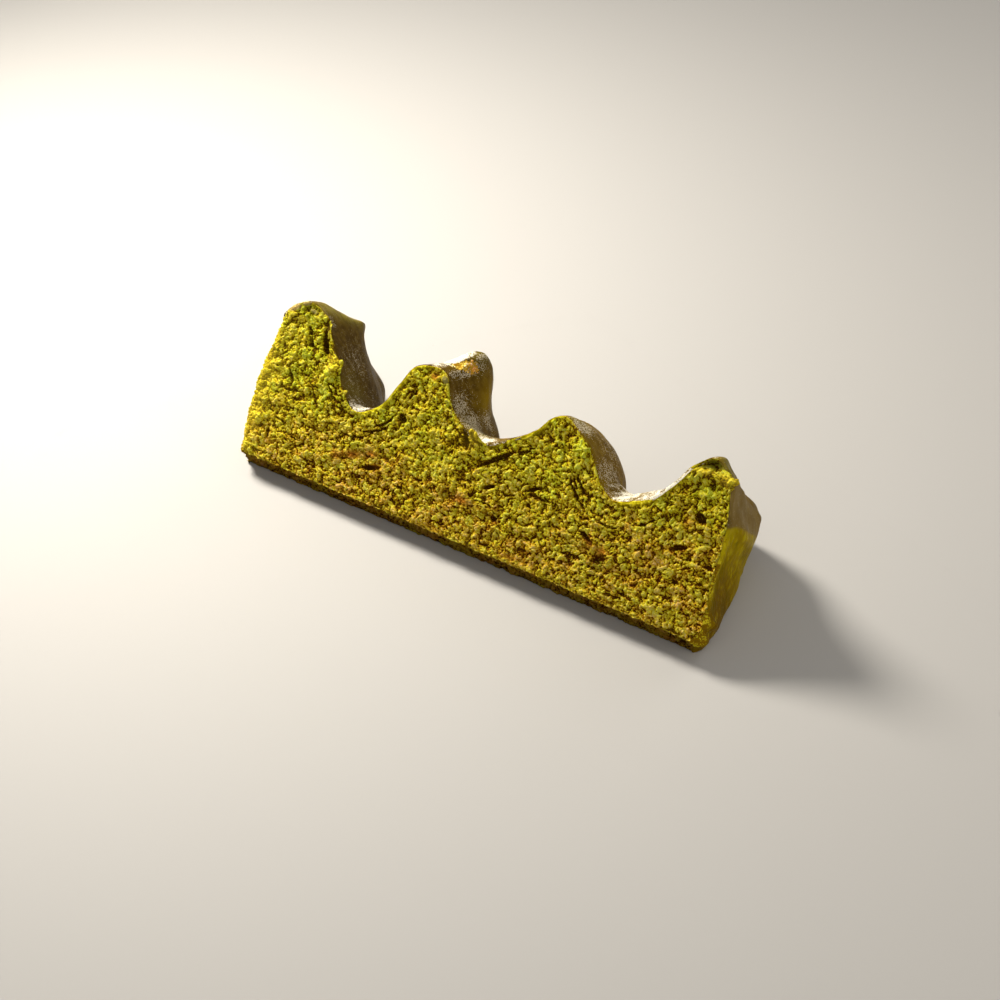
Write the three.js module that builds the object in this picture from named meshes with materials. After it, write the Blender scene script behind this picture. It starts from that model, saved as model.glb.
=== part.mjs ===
// Matcha baumkuchen stick: a wedge cut lengthwise out of a ring-shaped cake log with four ridges.
// Millimetres, +Z up. The stick lies on its rear cut face, with the log's axis along X.
// A place on the cake has a station along the axis, a height above the inner wall, and a turn,
// which is the angle behind the front cut face.
import * as THREE from 'three';
import { mergeVertices } from 'three/addons/utils/BufferGeometryUtils.js';

// Ring and cut
const LENGTH = 140;
const INNER_RADIUS = 8;
const CUT_ANGLE = THREE.MathUtils.degToRad(54);

// Ridges and valleys of the front cut face, each place as [station, height]
const CUT_END_CORNER = [-69.2, 39.4];
const RIDGES = [
  {
    leftShoulder: [-66.3, 42.7],
    crest: [-62.5, 45.1],
    rightShoulder: [-57.8, 43.7],
    fall: [-50.2, 34.2],
  },
  {
    rise: [-29.7, 33.2],
    leftShoulder: [-27.0, 38.7],
    crest: [-21.5, 40.8],
    rightShoulder: [-17.4, 40.0],
    fall: [-13.5, 33.5],
  },
  {
    rise: [11.4, 35.0],
    leftShoulder: [14.2, 39.2],
    crest: [17.8, 40.9],
    rightShoulder: [20.8, 39.4],
    fall: [28.0, 33.4],
  },
  {
    rise: [50.4, 34.9],
    leftShoulder: [54.2, 42.0],
    crest: [58.6, 44.5],
    rightShoulder: [62.2, 43.4],
  },
];
const VALLEYS = [
  { leftFoot: [-45.2, 26.0], floor: [-40.4, 22.8], rightFoot: [-33.6, 25.6] },
  { leftFoot: [-9.5, 29.9], floor: [-1.5, 27.6], rightFoot: [5.2, 30.5] },
  { leftFoot: [32.0, 28.4], floor: [37.6, 25.2], rightFoot: [45.5, 28.9] },
];
const GLAZED_END_CORNER = [64.8, 40.2];

// Both ends bow: the cut end bulges a little, and the glazed end tapers towards its top
const CUT_END_BOW = 1.5;
const CUT_END_BOW_HEIGHT = 34;
const GLAZED_END_TAPER = 5;
const GLAZED_END_TAPER_HEIGHT = 40.2;
const GLAZED_END_WAIST = { height: 16, reach: 6, depth: 0.8 };

// Uneven places of the skin: each is a hump or hollow that fades along the axis by its reach and
// round the ring by its spread, swells outward and shifts the skin along X
const SKIN_HUMPS = {
  firstRidgeShoulder: { station: -57.0, turn: 23, reach: 4.6, spread: 11, shift: 0.9, swell: 3.0 },
  firstValleyWall: { station: -45.0, turn: 36, reach: 7.0, spread: 20, shift: 4.2, swell: 0.4 },
  knobFront: { station: -20.0, turn: 17, reach: 5.0, spread: 9, shift: 0.4, swell: 5.6 },
  knobBack: { station: -15.0, turn: 21, reach: 4.6, spread: 10, shift: 1.4, swell: 7.0 },
  knobLobe: { station: -11.5, turn: 36, reach: 4.6, spread: 10, shift: 2.2, swell: 3.0 },
  thirdRidgeWall: { station: 24.5, turn: 24, reach: 8.0, spread: 20, shift: 3.2, swell: 1.2 },
  fourthRidgeDip: { station: 61.5, turn: 22, reach: 6.0, spread: 12, shift: -2.2, swell: -2.6 },
  firstValleyLip: { station: -38.5, turn: 8, reach: 6.0, spread: 7, shift: 0.0, swell: 1.0 },
  secondValleyLip: { station: 0.0, turn: 8, reach: 6.0, spread: 7, shift: 0.0, swell: 1.2 },
  thirdValleyLip: { station: 42.5, turn: 10, reach: 9.0, spread: 8, shift: 0.0, swell: 3.2 },
};

// Uneven places of the glazed end: each pushes the end along X
const END_HUMPS = {
  upperBulge: { height: 33, turn: 22, reach: 8, spread: 14, push: 2.8 },
  lowerHollow: { height: 25, turn: 48, reach: 8, spread: 18, push: -1.6 },
};
const END_HUMP_SHARPNESS = 12;

// Crumb of the cut faces: soft lumps, and the largest torn holes as [station, height] centres
const LUMP_SIZE = 4.6;
const LUMP_HEIGHT = 0.55;
const HOLES = [
  { centre: [-53.8, 35.6], length: 8.0, width: 2.6, lean: 115, depth: 1.7 },
  { centre: [-25.7, 25.0], length: 3.4, width: 2.8, lean: 150, depth: 1.5 },
  { centre: [-30.2, 9.8], length: 6.4, width: 2.6, lean: 20, depth: 1.4 },
  { centre: [-1.8, 24.4], length: 9.0, width: 2.6, lean: 150, depth: 1.5 },
  { centre: [59.9, 29.3], length: 3.6, width: 3.0, lean: 60, depth: 1.7 },
];

// Mesh fineness: columns along the axis, rows up the cut face, steps round the ring
const COLUMNS = 80;
const ROWS = 14;
const STEPS = 12;
const OUTLINE_SAMPLES = 400;
const WELD_DISTANCE = 1e-4;

function bell(distance, reach) {
  return Math.exp(-((distance / reach) ** 2));
}

function cutEndStation(height) {
  return -LENGTH / 2 - CUT_END_BOW * Math.sin((Math.PI * height) / CUT_END_BOW_HEIGHT);
}

function glazedEndStation(height) {
  const taper = GLAZED_END_TAPER * (height / GLAZED_END_TAPER_HEIGHT) ** 2;
  const waist = GLAZED_END_WAIST.depth * bell(height - GLAZED_END_WAIST.height, GLAZED_END_WAIST.reach);
  return LENGTH / 2 - taper - waist;
}

// The outline's places in order, from the cut end over the ridges and valleys to the glazed end
function outlinePlaces() {
  const places = [CUT_END_CORNER];
  RIDGES.forEach((ridge, index) => {
    places.push(...Object.values(ridge));
    if (index < VALLEYS.length) {
      places.push(...Object.values(VALLEYS[index]));
    }
  });
  places.push(GLAZED_END_CORNER);
  return places;
}

// One smooth curve through those places; x is the share of the way between the ends, y the height
function outlineCurve() {
  const points = outlinePlaces().map(([station, height]) => {
    const start = cutEndStation(height);
    const share = (station - start) / (glazedEndStation(height) - start);
    return new THREE.Vector3(share * LENGTH, height, 0);
  });
  const curve = new THREE.CatmullRomCurve3(points, false, 'centripetal');
  curve.arcLengthDivisions = OUTLINE_SAMPLES;
  return curve.getSpacedPoints(COLUMNS).map((point) => ({ share: point.x / LENGTH, height: point.y }));
}

const outline = outlineCurve();

// A point of the block: column along the axis, rise 0..1 up the cut face, swing 0..1 round the ring
function blockPoint(column, rise, swing) {
  const { share, height } = outline[column];
  const turn = THREE.MathUtils.radToDeg(CUT_ANGLE) * swing;
  const skinStation = THREE.MathUtils.lerp(cutEndStation(height), glazedEndStation(height), share);
  let shift = 0;
  let swell = 0;
  for (const hump of Object.values(SKIN_HUMPS)) {
    const weight = bell(skinStation - hump.station, hump.reach) * bell(turn - hump.turn, hump.spread);
    shift += hump.shift * weight;
    swell += hump.swell * weight;
  }
  const level = rise * height;
  let push = 0;
  for (const hump of Object.values(END_HUMPS)) {
    push += hump.push * bell(level - hump.height, hump.reach) * bell(turn - hump.turn, hump.spread);
  }
  const station =
    THREE.MathUtils.lerp(cutEndStation(level), glazedEndStation(level), share) +
    push * share ** END_HUMP_SHARPNESS +
    shift * rise ** 2;
  const radius = INNER_RADIUS + rise * (height + swell);
  const angle = CUT_ANGLE * (1 - swing);
  return new THREE.Vector3(station, radius * Math.cos(angle), radius * Math.sin(angle));
}

// Smooth waves that never line up, for the lumps of the crumb
function lumps(a, b) {
  const x = a / LUMP_SIZE;
  const y = b / LUMP_SIZE;
  const slow = Math.sin(2.1 * x + 1.3 * Math.sin(1.7 * y)) * Math.sin(2.4 * y + 1.1 * Math.sin(1.9 * x));
  const quick = Math.sin(4.3 * x - 2.2 * y + 0.7) * Math.sin(3.9 * y + 2.7 * x);
  return LUMP_HEIGHT * (0.65 * slow + 0.35 * quick);
}

function holeDepth(station, height) {
  let depth = 0;
  for (const hole of HOLES) {
    const lean = THREE.MathUtils.degToRad(hole.lean);
    const dx = station - hole.centre[0];
    const dy = height - hole.centre[1];
    const along = dx * Math.cos(lean) + dy * Math.sin(lean);
    const across = dy * Math.cos(lean) - dx * Math.sin(lean);
    depth += hole.depth * bell(along, hole.length / 2) * bell(across, hole.width / 2);
  }
  return depth;
}

// Relief fades to nothing at the four borders of a face, so that neighbours still meet
function borderFade(a, b) {
  return Math.min(1, 6 * a * (1 - a)) * Math.min(1, 6 * b * (1 - b));
}

function frontPoint(column, row) {
  const rise = row / ROWS;
  const point = blockPoint(column, rise, 0);
  const height = Math.hypot(point.y, point.z) - INNER_RADIUS;
  const relief = lumps(point.x, height) - holeDepth(point.x, height);
  const outward = new THREE.Vector3(0, -Math.sin(CUT_ANGLE), Math.cos(CUT_ANGLE));
  return point.addScaledVector(outward, relief * borderFade(column / COLUMNS, rise));
}

function cutEndPoint(row, step) {
  const rise = row / ROWS;
  const swing = step / STEPS;
  const point = blockPoint(0, rise, swing);
  point.x -= lumps(point.y + LENGTH, point.z) * borderFade(rise, swing);
  return point;
}

// Triangles of one side of the block, seen from outside with a to the right and b upward
function addSide(positions, countA, countB, place) {
  for (let a = 0; a < countA; a += 1) {
    for (let b = 0; b < countB; b += 1) {
      const near = place(a, b);
      const right = place(a + 1, b);
      const far = place(a + 1, b + 1);
      const left = place(a, b + 1);
      for (const corner of [near, right, far, near, far, left]) {
        positions.push(corner.x, corner.y, corner.z);
      }
    }
  }
}

function cakeGeometry() {
  const positions = [];
  addSide(positions, COLUMNS, ROWS, frontPoint);
  addSide(positions, COLUMNS, ROWS, (a, b) => blockPoint(COLUMNS - a, b / ROWS, 1));
  addSide(positions, COLUMNS, STEPS, (a, b) => blockPoint(a, 1, b / STEPS));
  addSide(positions, COLUMNS, STEPS, (a, b) => blockPoint(COLUMNS - a, 0, b / STEPS));
  addSide(positions, STEPS, ROWS, (a, b) => cutEndPoint(b, STEPS - a));
  addSide(positions, STEPS, ROWS, (a, b) => blockPoint(COLUMNS, b / ROWS, a / STEPS));
  const loose = new THREE.BufferGeometry();
  loose.setAttribute('position', new THREE.Float32BufferAttribute(positions, 3));
  const geometry = mergeVertices(loose, WELD_DISTANCE);
  geometry.computeVertexNormals();
  return geometry;
}

// The origin is the middle of the base, so the stick is set over it
function centreOnBase(geometry) {
  geometry.computeBoundingBox();
  const { min, max } = geometry.boundingBox;
  geometry.translate(-(min.x + max.x) / 2, -(min.y + max.y) / 2, -min.z);
}

function crumbMaterial() {
  return new THREE.MeshStandardMaterial({ color: 0x8f8a26, roughness: 0.9, metalness: 0 });
}

function cake() {
  const geometry = cakeGeometry();
  centreOnBase(geometry);
  const mesh = new THREE.Mesh(geometry, crumbMaterial());
  mesh.name = 'cake';
  return mesh;
}

const stick = new THREE.Group();
stick.add(cake());

export default stick;
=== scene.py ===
import itertools
import math
from collections import namedtuple

import bpy
import numpy as np
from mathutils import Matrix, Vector


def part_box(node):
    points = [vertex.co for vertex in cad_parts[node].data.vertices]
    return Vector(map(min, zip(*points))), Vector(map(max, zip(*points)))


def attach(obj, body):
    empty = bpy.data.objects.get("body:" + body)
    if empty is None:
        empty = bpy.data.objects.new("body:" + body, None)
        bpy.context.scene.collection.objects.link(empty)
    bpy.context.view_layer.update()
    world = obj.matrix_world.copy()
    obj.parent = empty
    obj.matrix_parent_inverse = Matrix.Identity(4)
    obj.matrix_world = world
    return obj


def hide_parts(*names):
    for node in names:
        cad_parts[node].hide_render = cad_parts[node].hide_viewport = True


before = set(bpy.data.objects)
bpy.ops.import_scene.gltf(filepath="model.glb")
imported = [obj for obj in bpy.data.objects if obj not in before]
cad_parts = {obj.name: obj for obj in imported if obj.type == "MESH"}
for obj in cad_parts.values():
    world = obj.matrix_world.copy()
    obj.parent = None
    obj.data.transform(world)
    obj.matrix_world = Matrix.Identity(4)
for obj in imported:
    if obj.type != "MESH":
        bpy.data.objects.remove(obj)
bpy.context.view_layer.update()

MM = 0.001

# Ring and cut
LENGTH = 140
INNER_RADIUS = 8
CUT_TURN = 54

# Outline of the front cut face as (station, height): corner, four ridges with valleys between, corner
OUTLINE_PLACES = [
    (-69.2, 39.4),
    *[(-66.3, 42.7), (-62.5, 45.1), (-57.8, 43.7), (-50.2, 34.2)],
    *[(-45.2, 26.0), (-40.4, 22.8), (-33.6, 25.6)],
    *[(-29.7, 33.2), (-27.0, 38.7), (-21.5, 40.8), (-17.4, 40.0), (-13.5, 33.5)],
    *[(-9.5, 29.9), (-1.5, 27.6), (5.2, 30.5)],
    *[(11.4, 35.0), (14.2, 39.2), (17.8, 40.9), (20.8, 39.4), (28.0, 33.4)],
    *[(32.0, 28.4), (37.6, 25.2), (45.5, 28.9)],
    *[(50.4, 34.9), (54.2, 42.0), (58.6, 44.5), (62.2, 43.4)],
    (64.8, 40.2),
]

# Both ends bow: the cut end bulges a little, and the glazed end tapers towards its top
CUT_END_BOW = 1.5
CUT_END_BOW_HEIGHT = 34
GLAZED_END_TAPER = 5
GLAZED_END_TAPER_HEIGHT = 40.2
GLAZED_END_WAIST = {"height": 16, "reach": 6, "depth": 0.8}

# Uneven places of the skin: the station and turn that each is at, its reach along the axis and spread
# round the ring, and how far it shifts the skin along X and swells it outward
Hump = namedtuple("Hump", "at turn reach spread shift swell")
SKIN_HUMPS = {
    "first_ridge_shoulder": Hump(-57.0, 23, 4.6, 11, 0.9, 3.0),
    "first_valley_wall": Hump(-45.0, 36, 7.0, 20, 4.2, 0.4),
    "knob_front": Hump(-20.0, 17, 5.0, 9, 0.4, 5.6),
    "knob_back": Hump(-15.0, 21, 4.6, 10, 1.4, 7.0),
    "knob_lobe": Hump(-11.5, 36, 4.6, 10, 2.2, 3.0),
    "third_ridge_wall": Hump(24.5, 24, 8.0, 20, 3.2, 1.2),
    "fourth_ridge_dip": Hump(61.5, 22, 6.0, 12, -2.2, -2.6),
    "first_valley_lip": Hump(-38.5, 8, 6.0, 7, 0.0, 1.0),
    "second_valley_lip": Hump(0.0, 8, 6.0, 7, 0.0, 1.2),
    "third_valley_lip": Hump(42.5, 10, 9.0, 8, 0.0, 3.2),
}

# Smaller uneven places of the skin, on top of those above
SMALL_HUMPS = {
    "first_crest_front": Hump(-61.8, 6, 2.6, 4, 0.0, 0.5),
    "first_crest_dip": Hump(-59.2, 19.5, 3.0, 5, 0.0, -1.1),
    "first_crest_back": Hump(-58.2, 36, 3.0, 6, -1.2, -0.9),
    "first_shoulder_edge": Hump(-58.2, 23, 2.4, 5, 0.8, 1.0),
    "first_flank_hollow": Hump(-55.8, 29, 2.8, 7, -2.7, -0.7),
    "first_flank_bulge": Hump(-52.5, 41, 2.4, 6, 1.6, 0.2),
    "first_valley_front": Hump(-39.5, 0, 4.0, 4, 0.0, -0.7),
    "knob_top": Hump(-19.4, 15.5, 2.4, 4, 0.0, 0.5),
    "knob_side": Hump(-17.2, 20.5, 1.8, 4, -0.5, -0.3),
    "knob_neck": Hump(-13.9, 27, 2.4, 6, -0.9, 0.0),
    "knob_foot_hollow": Hump(-12.6, 11, 1.8, 5, -0.7, 0.0),
    "second_valley_front": Hump(-1.0, 0, 5.5, 4, 0.0, -0.9),
    "third_crest_front": Hump(18.0, 9, 2.0, 4, -0.3, -0.2),
    "third_flank_hollow": Hump(27.0, 10, 2.4, 7, -0.6, 0.0),
    "third_valley_foot": Hump(35.5, 15, 3.6, 7, 0.0, 1.8),
    "third_valley_front": Hump(45.5, 0, 3.0, 4, 0.0, -0.5),
    "fourth_crest_left": Hump(54.4, 0, 2.4, 6, 0.0, -0.8),
    "fourth_crest_right": Hump(60.2, 5, 2.2, 4, 0.2, 0.9),
    "fourth_crest_edge": Hump(62.0, 5, 1.6, 4, -0.6, -0.8),
    "fourth_back_shoulder": Hump(64.0, 34, 4.0, 8, 1.0, 0.6),
    "fourth_back_corner": Hump(66.0, 58, 6.0, 11, -5.0, -1.0),
}

# Uneven places of the glazed end: the height and turn that each is at, its reach upward and spread
# round the ring, and how far it pushes the end outward
EndHump = namedtuple("EndHump", "at turn reach spread push")
END_HUMPS = {
    "upper_bulge": EndHump(33, 22, 8, 14, 2.8),
    "lower_hollow": EndHump(25, 48, 8, 18, -1.6),
}
END_HUMP_SHARPNESS = 12
SMALL_END_HUMPS = {
    "lower_fill": EndHump(22.5, 48, 7, 12, 1.8),
    "back_hollow": EndHump(35, 48, 2.5, 6, -0.5),
    "back_foot": EndHump(5, 56, 4, 10, -1.2),
}

# Where the dressed cake differs from the plain wedge: rounded edge between cut end and front face,
# fuller cut end beside it, and glazed end tucked in at its foot
CORNER_RADIUS = 3.2
CORNER_FULLNESS = {"top": 1.4, "bottom": 1.5, "reach": 12, "depth": 8}
FOOT_TUCK = {"height": 4.5, "depth": 2.4}

# Soft lumps of the front cut face, and its torn holes and cracks with their lean in degrees
LUMP_SIZE = 4.6
LUMP_HEIGHT = 0.55
LUMP_BORDER = (0, 3)
Hole = namedtuple("Hole", "station height length width lean depth")
HOLES = {
    "first_ridge_crack": Hole(-54.6, 36.4, 7.0, 1.4, 112, 2.4),
    "first_ridge_pit": Hole(-58.6, 34.3, 2.0, 1.4, 150, 1.4),
    "first_ridge_slit": Hole(-61.6, 24.6, 3.6, 0.9, 125, 1.2),
    "cut_end_pore": Hole(-63.6, 7.9, 2.6, 1.1, 105, 1.6),
    "second_ridge_hole": Hole(-25.7, 25.0, 2.6, 1.9, 150, 2.0),
    "long_slit": Hole(-30.2, 9.8, 5.0, 1.3, 20, 1.7),
    "second_valley_crack": Hole(-6.4, 26.4, 6.0, 1.6, 112, 2.2),
    "second_valley_crevice": Hole(3.4, 24.4, 10.5, 1.2, 38, 1.7),
    "middle_pit": Hole(7.7, 9.7, 2.0, 1.3, 20, 1.5),
    "middle_slit": Hole(3.5, 16.8, 3.4, 1.0, 24, 1.4),
    "third_ridge_slit": Hole(15.5, 20.5, 4.6, 1.0, 30, 1.4),
    "glazed_pit": Hole(38.4, 10.4, 3.4, 2.4, 30, 1.0),
    "third_valley_pore": Hole(33.2, 14.5, 4.0, 1.1, 150, 1.5),
    "fourth_ridge_hole": Hole(59.9, 29.3, 2.9, 2.1, 150, 2.6),
    "glazed_corner_hollow": Hole(60.0, 38.0, 3.0, 1.7, 115, 1.0),
    "fourth_ridge_slit": Hole(56.9, 20.6, 4.2, 1.4, 25, 1.5),
}
# Holes are coloured darker, partly browner crumb and partly painted shade
HOLE_SHADE = 0.5

# Clumps that stand proud of the cut or hang over the skin, and places where a flake has come away:
# reach along and up, rise over the cut, and push along and up
Flake = namedtuple("Flake", "station height length width rise along up")
FLAKES = {
    "over_first_shoulder": Flake(-56.2, 41.6, 2.2, 3.0, 0.5, 1.3, 0.2),
    "over_first_flank": Flake(-49.8, 31.0, 2.4, 3.4, 1.2, 1.1, 0.3),
    "at_first_foot": Flake(-45.4, 25.0, 2.2, 2.2, 0.8, 0.6, 0.5),
    "at_second_foot": Flake(-4.2, 27.2, 2.4, 2.0, 2.2, -0.3, 0.9),
    "on_third_flank": Flake(25.6, 33.6, 1.4, 3.0, 0.7, 0.5, 0.2),
    "glazed_corner": Flake(63.2, 40.2, 2.5, 1.8, 1.5, 1.2, 0.2),
    "fourth_crest_row": Flake(57.0, 39.8, 3.2, 0.9, 0.7, 0.0, 0.3),
    "fourth_crest_gap": Flake(57.6, 42.7, 2.8, 1.3, -1.7, 0, 0),
}

# Packed grains: size, seed, and smallest and largest radius in that size. They range from drawn out to
# squashed, and from round to peaked
Grains = namedtuple("Grains", "size seed smallest largest")
GRAIN_SQUASH = (-0.55, 2.0)
GRAIN_PEAK = 0.3
CELLS_BELOW_ZERO = 4096

# Crumb as clumps, grains and specks: the rise of each, the part of its relief that lies level, and its
# share in how deep and how toned the colour is; the colour is darker where the grains lie low, partly
# painted shade
Layer = namedtuple("Layer", "grains rise level depth tone")
CRUMB_LAYERS = [
    Layer(Grains(1.45, 1, 0.45, 0.85), rise=0.50, level=0.66, depth=0.36, tone=0.6),
    Layer(Grains(0.75, 2, 0.42, 0.82), rise=0.40, level=0.62, depth=0.42, tone=0.4),
    Layer(Grains(0.44, 5, 0.40, 0.80), rise=0.28, level=0.60, depth=0.22, tone=0.0),
]
# Torn pores, drawn out along the skin, or lower down along the layers
PORE_CELL = (6.5, 1.05, 6.5)
SKIN_PORES = Grains(1, 3, -0.1, 0.55)
LAYER_PORES = Grains(1, 4, -0.3, 0.55)
LAYER_PORE_SHARE = 0.7
SKIN_LAYERS = (6, 13)
PORE_STEP = (0.15, 0.85)
PORE_DEPTH = 1.05
# Pores are coloured darker, partly browner crumb and partly painted shade
PORE_SHADE = 0.65
# Warps that make the grains uneven as (size, reach, seed), and fine creases that break them up as
# (size, sharpness, depth, seed)
WARPS = [(1.3, 0.36, 11), (0.5, 0.27, 14)]
CREASES = [(1.5, 0.16, 0.26, 17), (0.75, 0.2, 0.14, 18)]
# Creases are coloured darker, partly browner crumb and partly painted shade
CREASE_SHADE = 0.6
# How far the front face's own features reach round its edge, and how its edges round off
FRONT_REACH = 0.4
EDGE_ROUNDING = 0.35
EDGE_REACH = 0.7
LIP_FADE = 0.9
SKIN_EDGE_FADE = (0, 1.2)
# Smooth outer layer that shows along the flanks that face the cut end, between two stations; its lighter
# colour is partly painted light
RIND_REACH = 1.0
RIND_RISE = 0.05
RIND_SHARE = 0.75
RIND_ROUNDING = {"depth": 0.4, "reach": 0.6}
RIND_SLOPE = (-0.15, 0.35)
RIND_START = (-46, -42)
RIND_STOP = (56, 52)
# Crumbs of the flanks that face the glazed end stick out over the skin
RAGGED_REACH = 0.8
RAGGED_RISE = 0.8
RAGGED_SLOPE = (-0.1, -0.5)
RAGGED_GRAINS = (-0.05, 0.45)

# Glaze coat: how far it stands over the skin and sinks under it, and its rounded rim
COAT_OUT = 0.12
COAT_IN = 0.7
RIM_RADIUS = 0.3
RIM_STEPS = np.array([0, 0.08, 0.25, 0.5, 1])
RIM_GAP = 1.5
RIM_SETBACK = 0.25
RIM_SLOPE = (-0.2, 0.4)
RIM_WAVER = {"reach": 0.3, "step": 0.4, "size": 2.6, "seed": 36}
LEAST_RUN = 0.05
# How far the rim stands before the cut on flanks that face the cut end, as (station, distance)
RIM_PROUD = [
    *[(-42, 0.1), (-35, -0.3), (-31, -0.5), (-16, -0.3), (-8, 0.1), (2, 0.1), (6, -0.1)],
    *[(11, -0.5), (30, -0.3), (34, -0.4), (41, -0.35), (45, 0.0), (50, 0.2), (53, 0.1)],
    *[(55, -0.5), (58, -0.6), (61, -0.2)],
]

# Mesh fineness
CRUMB_COLUMNS = 860
CRUMB_RISES = 200
CRUMB_TURNS = 168
CRUMB_ROUNDS = 4
INNER_TURN_STEP = 8
LIP_TURNS = 6
LIP_COLUMNS = 14
SKIN_SAMPLES = 260
SKIN_BATCH = 20000
CRUMB_TOP = 0.996
CRUMB_END = 0.998
BASE_COLUMNS = 270
BASE_RISES = 63
COAT_COLUMNS = 520
COAT_END_RISES = 140
COAT_TURNS = 104
COAT_ROUNDS = 5
SPAN_SAMPLES = 24


def bell(distance, reach):
    return np.exp(-((distance / reach) ** 2))


def weight_of(spot, at, turn):
    """1 in the middle of a place of the skin or the glazed end, less by its reach and spread."""
    return bell(at - spot.at, spot.reach) * bell(turn - spot.turn, spot.spread)


def ramp01(value, zero, one):
    """0 up to the value zero and 1 from the value one on, or the other way round, smooth between."""
    share = np.clip((value - zero) / (one - zero), 0, 1)
    return share * share * (3 - 2 * share)


def mix(low, high, share):
    return low + (high - low) * share


def listed(stops, station):
    """The value at each station, from a list of (station, value)."""
    return np.interp(station, *np.array(stops).T)


def leant(x, y, degrees):
    """How far (x, y) goes along a direction that leans by these degrees, and across it."""
    angle = math.radians(degrees)
    return x * math.cos(angle) + y * math.sin(angle), y * math.cos(angle) - x * math.sin(angle)


def cut_end_station(height):
    return -LENGTH / 2 - CUT_END_BOW * np.sin(np.pi * height / CUT_END_BOW_HEIGHT)


def glazed_end_station(height):
    taper = GLAZED_END_TAPER * (height / GLAZED_END_TAPER_HEIGHT) ** 2
    waist = GLAZED_END_WAIST["depth"] * bell(height - GLAZED_END_WAIST["height"], GLAZED_END_WAIST["reach"])
    return LENGTH / 2 - taper - waist


def centripetal_span(before, start, end, after):
    """Points of the centripetal Catmull-Rom curve from start up to, but not with, end."""
    knots = [0.0]
    for near, far in ((before, start), (start, end), (end, after)):
        knots.append(knots[-1] + math.sqrt(np.linalg.norm(far - near)))
    t = np.linspace(knots[1], knots[2], SPAN_SAMPLES, endpoint=False)[:, None]

    def between(low, high, first, second):
        return ((knots[high] - t) * first + (t - knots[low]) * second) / (knots[high] - knots[low])

    a, b, c = between(0, 1, before, start), between(1, 2, start, end), between(2, 3, end, after)
    return between(1, 2, between(0, 2, a, b), between(1, 3, b, c))


def dense_outline():
    """The outline as many (share of the length, height) points."""
    station, height = np.array(OUTLINE_PLACES).T
    start = cut_end_station(height)
    share = (station - start) / (glazed_end_station(height) - start)
    places = np.stack([share * LENGTH, height], 1)
    places = np.vstack([2 * places[0] - places[1], places, 2 * places[-1] - places[-2]])
    spans = [centripetal_span(*places[i : i + 4]) for i in range(len(places) - 3)]
    curve = np.vstack([*spans, places[-2]])
    return curve / [LENGTH, 1]


def spaced(line, steps, count):
    """Evenly spaced points of a line whose steps have these lengths, and how far along it they are."""
    run = np.concatenate([[0], np.cumsum(steps)])
    stops = np.linspace(0, run[-1], count)
    return np.stack([np.interp(stops, run, values) for values in line.T]), stops


def outline_columns(count, along_curve):
    """Share and height of count + 1 columns; along_curve 1 spaces them by the curve's length, 0 by X."""
    curve = dense_outline()
    steps = np.diff(curve * [LENGTH, 1], axis=0)
    lengths = along_curve * np.linalg.norm(steps, axis=1) + (1 - along_curve) * np.abs(steps[:, 0])
    return spaced(curve, lengths, count + 1)[0]


def skin_station_of(share, height):
    return mix(cut_end_station(height), glazed_end_station(height), share)


def end_push(humps, share, level, turn):
    push = sum(hump.push * weight_of(hump, level, turn) for hump in humps.values())
    return push * share**END_HUMP_SHARPNESS


def block_points(share, height, rise, turn, humps):
    """Points of the wedge with these humps of its skin, in millimetres from the ring's axis."""
    skin_station = skin_station_of(share, height)
    shift, swell = np.zeros_like(share), np.zeros_like(share)
    for hump in humps:
        weight = weight_of(hump, skin_station, turn)
        shift += hump.shift * weight
        swell += hump.swell * weight
    level = rise * height
    station = skin_station_of(share, level) + end_push(END_HUMPS, share, level, turn) + shift * rise**2
    radius = INNER_RADIUS + rise * (height + swell)
    angle = np.radians(CUT_TURN - turn)
    return np.stack([station, radius * np.cos(angle), radius * np.sin(angle)], 1)


def dressed_moves(share, height, rise, turn, radius):
    """How far the dressed cake's points lie along X and backward from the wedge's."""
    from_end, behind = share * LENGTH, np.radians(turn) * radius
    u = np.clip(1 - from_end / CORNER_RADIUS, 0, 1)
    v = np.clip(1 - behind / CORNER_RADIUS, 0, 1)
    along = CORNER_RADIUS * u * (1 - np.sqrt(1 - v * v / 2))
    backward = CORNER_RADIUS * v * (1 - np.sqrt(1 - u * u / 2))
    fullness = mix(CORNER_FULLNESS["bottom"], CORNER_FULLNESS["top"], rise)
    fullness *= np.clip(1 - from_end / CORNER_FULLNESS["reach"], 0, 1) ** 2
    along -= fullness * bell(behind, CORNER_FULLNESS["depth"])
    tuck = np.clip(1 - rise * height / FOOT_TUCK["height"], 0, 1) ** 2
    along -= FOOT_TUCK["depth"] * tuck * share**END_HUMP_SHARPNESS
    along += end_push(SMALL_END_HUMPS, share, rise * height, turn)
    return along, backward


def scrambled(keys):
    """Whole numbers mixed so that close ones come out unlike."""
    keys = (keys ^ (keys >> np.uint64(30))) * np.uint64(0xBF58476D1CE4E5B9)
    keys = (keys ^ (keys >> np.uint64(27))) * np.uint64(0x94D049BB133111EB)
    return keys ^ (keys >> np.uint64(31))


def draws(cells, seed, count):
    """count random numbers from 0 to 1 for each whole-number cell (n, 3)."""
    x, y, z = (cells + CELLS_BELOW_ZERO).astype(np.uint64).T
    keys = scrambled(x + (y << np.uint64(14)) + (z << np.uint64(28)) + (np.uint64(seed) << np.uint64(44)))
    numbers = []
    for _ in range(count):
        numbers.append((keys >> np.uint64(40)).astype(float) / 2**24)
        keys = scrambled(keys + np.uint64(1))
    return numbers


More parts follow.
